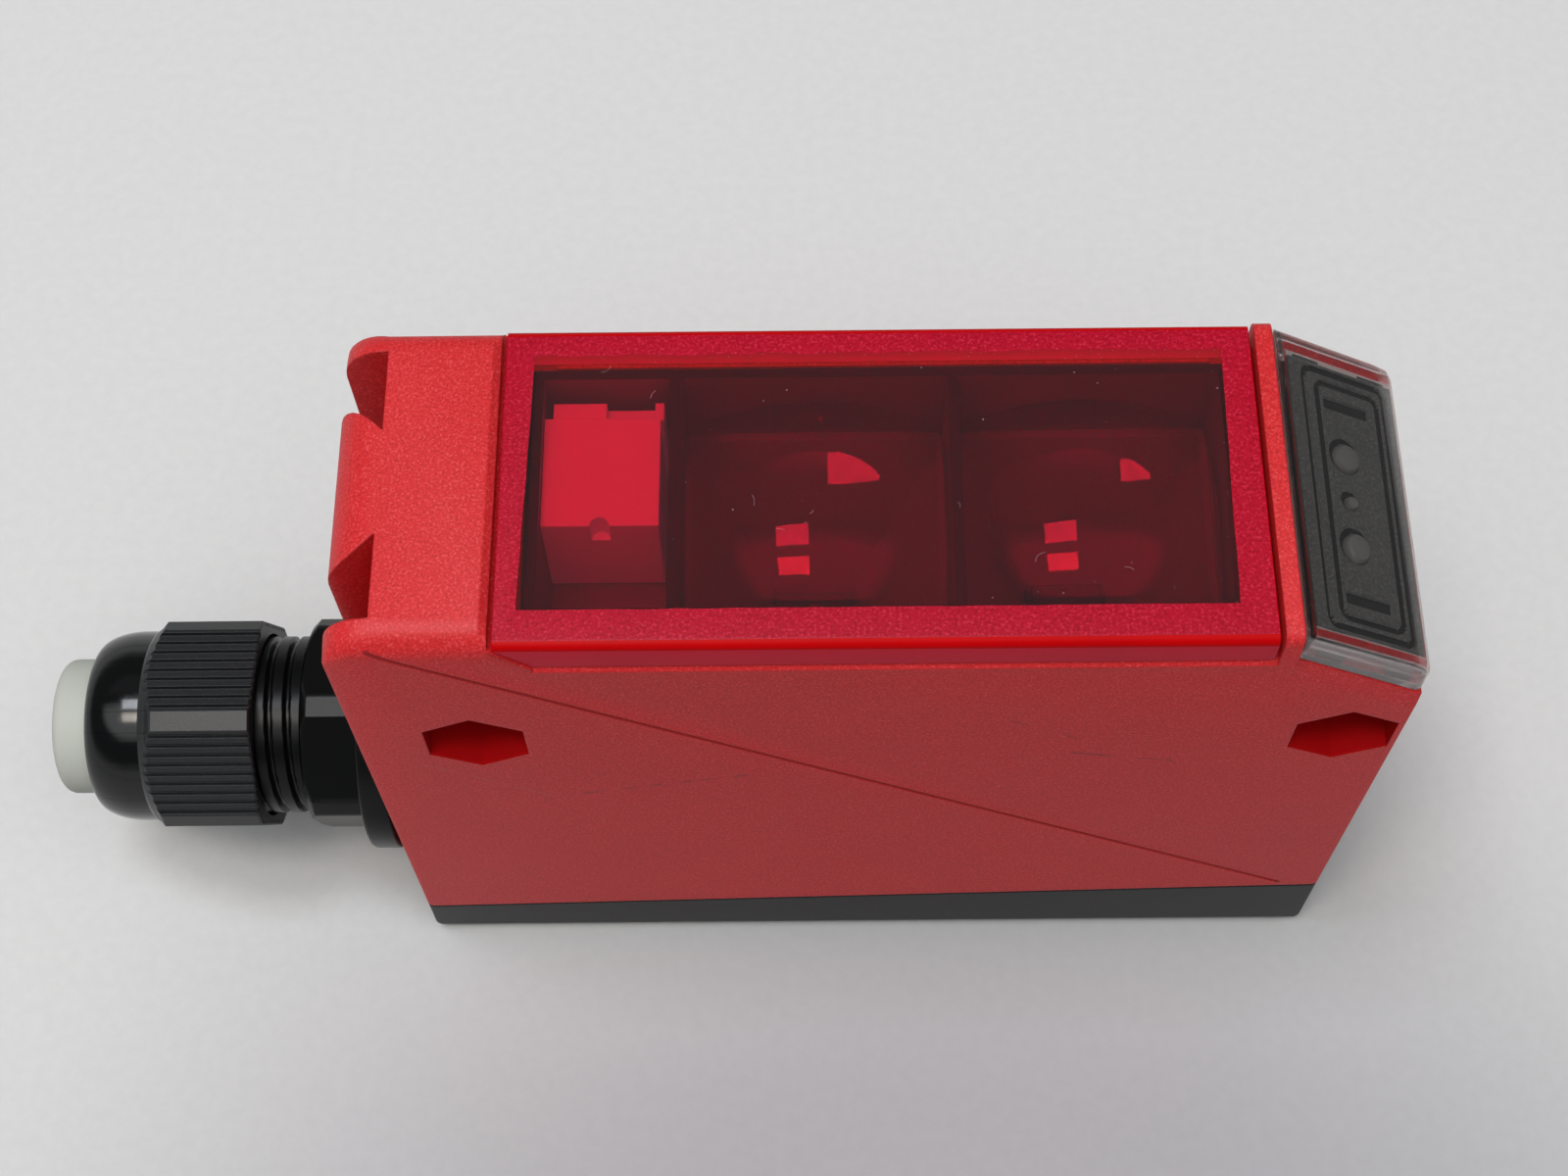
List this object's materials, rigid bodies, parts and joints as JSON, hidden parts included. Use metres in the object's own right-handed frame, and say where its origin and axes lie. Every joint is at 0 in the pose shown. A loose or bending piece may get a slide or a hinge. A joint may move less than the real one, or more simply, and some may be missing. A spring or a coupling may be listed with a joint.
{
  "type": "reflective optical sensor",
  "caption": "Box-shaped reflective optical sensor in red plastic with a red window, a slanted clear indicator corner, a dark back cover and a black cable gland at one end.",
  "frame": {"origin": "centre of the back cover's flat underside, on which the sensor stands", "axes": "+Z out through the optics, +X along the housing away from the cable gland, +Y towards the far long side"},
  "size_m": [0.1264, 0.03, 0.07],
  "materials": {
    "red_housing": "moulded, satin, fine grain",
    "red_window": "moulded clear red, polished window in a textured frame",
    "black_carrier": "moulded, satin",
    "emitter_lens_acrylic": "polished acrylic",
    "receiver_lens_acrylic": "polished acrylic",
    "pale_light_guide": "moulded, satin",
    "red_diode": "cast clear red resin",
    "dark_diode": "cast dark resin",
    "main_board_laminate": "solder mask over laminate",
    "base_board_laminate": "solder mask over laminate",
    "header_plastic": "moulded, satin",
    "relay_case": "moulded, glossy",
    "chip_case": "moulded epoxy, matt",
    "capacitor_can": "drawn can, satin",
    "terminal_plastic": "moulded, satin",
    "terminal_screw_steel": "turned and plated",
    "clear_window": "moulded clear, polished",
    "dark_panel": "moulded, satin",
    "clear_lamp": "moulded frosted clear",
    "lamp_board_laminate": "solder mask over laminate",
    "dark_back_cover": "moulded, satin, fine grain",
    "gasket_rubber": "moulded rubber",
    "cover_screw_steel": "turned and zinc plated",
    "black_gland_body": "moulded, satin",
    "gland_seal_rubber": "die-cut rubber",
    "lock_nut_plastic": "moulded, satin",
    "ribbed_cap_nut": "moulded, satin, glossy dome",
    "cage_plastic": "moulded, satin",
    "grey_sealing_insert": "moulded pale rubber, matt"
  },
  "bodies": {
    "root": {"housing": "red_housing", "optics_cover": "red_window", "optics_carrier": "black_carrier", "emitter_lens": "emitter_lens_acrylic", "receiver_lens": "receiver_lens_acrylic", "light_guide": "pale_light_guide", "emitter_diode": "red_diode", "receiver_diode": "dark_diode", "main_board": "main_board_laminate", "base_board": "base_board_laminate", "board_header": "header_plastic", "output_relay": "relay_case", "signal_chip": "chip_case", "supply_capacitor": "capacitor_can", "terminal_block": "terminal_plastic", "terminal_screw_1": "terminal_screw_steel", "terminal_screw_2": "terminal_screw_steel", "terminal_screw_3": "terminal_screw_steel", "terminal_screw_4": "terminal_screw_steel", "terminal_screw_5": "terminal_screw_steel", "indicator_cover": "clear_window", "indicator_panel": "dark_panel", "indicator_lamp_1": "clear_lamp", "indicator_lamp_2": "clear_lamp", "indicator_lamp_3": "clear_lamp", "lamp_board": "lamp_board_laminate", "back_cover": "dark_back_cover", "cover_gasket": "gasket_rubber", "cover_screw_left_near": "cover_screw_steel", "cover_screw_left_far": "cover_screw_steel", "cover_screw_right_near": "cover_screw_steel", "cover_screw_right_far": "cover_screw_steel", "gland_body": "black_gland_body", "gland_seal": "gland_seal_rubber", "gland_lock_nut": "lock_nut_plastic", "gland_cap_nut": "ribbed_cap_nut", "gland_cage": "cage_plastic", "gland_insert": "grey_sealing_insert"}
  },
  "joints": []
}
